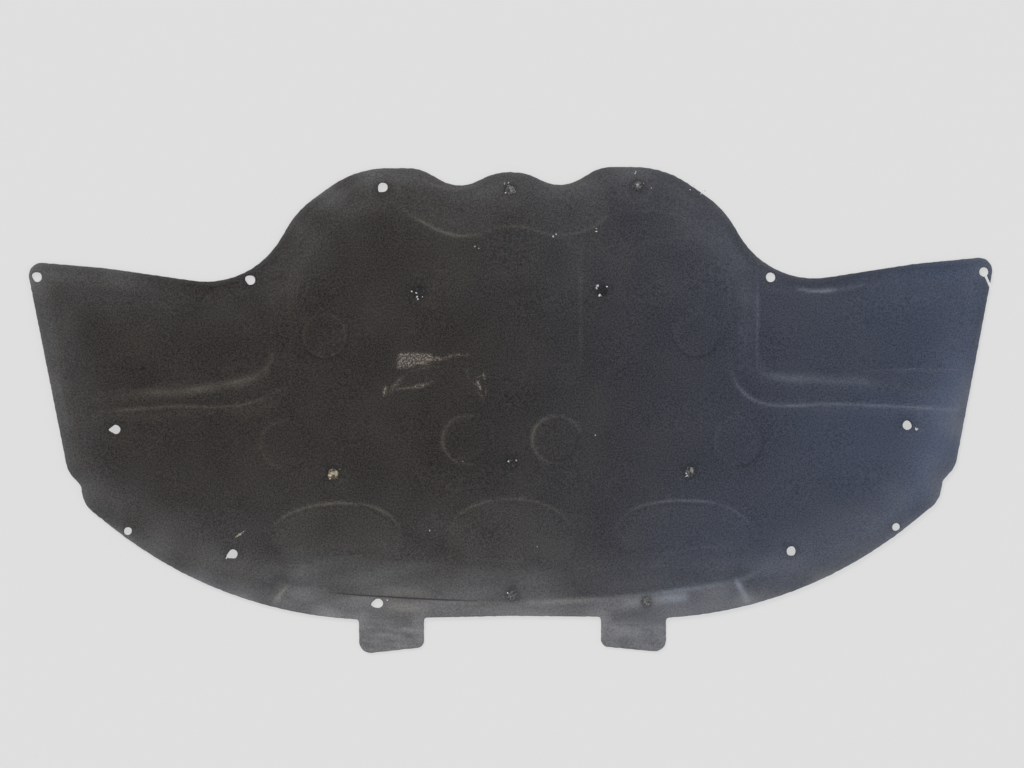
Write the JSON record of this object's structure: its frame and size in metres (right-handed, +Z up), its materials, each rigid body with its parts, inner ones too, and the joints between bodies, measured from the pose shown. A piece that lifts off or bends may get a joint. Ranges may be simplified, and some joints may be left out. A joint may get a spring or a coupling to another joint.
{
  "type": "hood insulation pad",
  "caption": "Moulded felt sound and heat pad for the underside of a car hood, with wings, raised pillows, front tabs and clip holes.",
  "frame": {"origin": "centre of the pad's box, on its flat back", "axes": "+X across the car, +Y towards the windscreen, +Z up through the face"},
  "size_m": [1.2492, 0.6288, 0.018],
  "materials": {
    "felt": "matt"
  },
  "bodies": {
    "root": {"insulation_pad": "felt"}
  },
  "joints": []
}
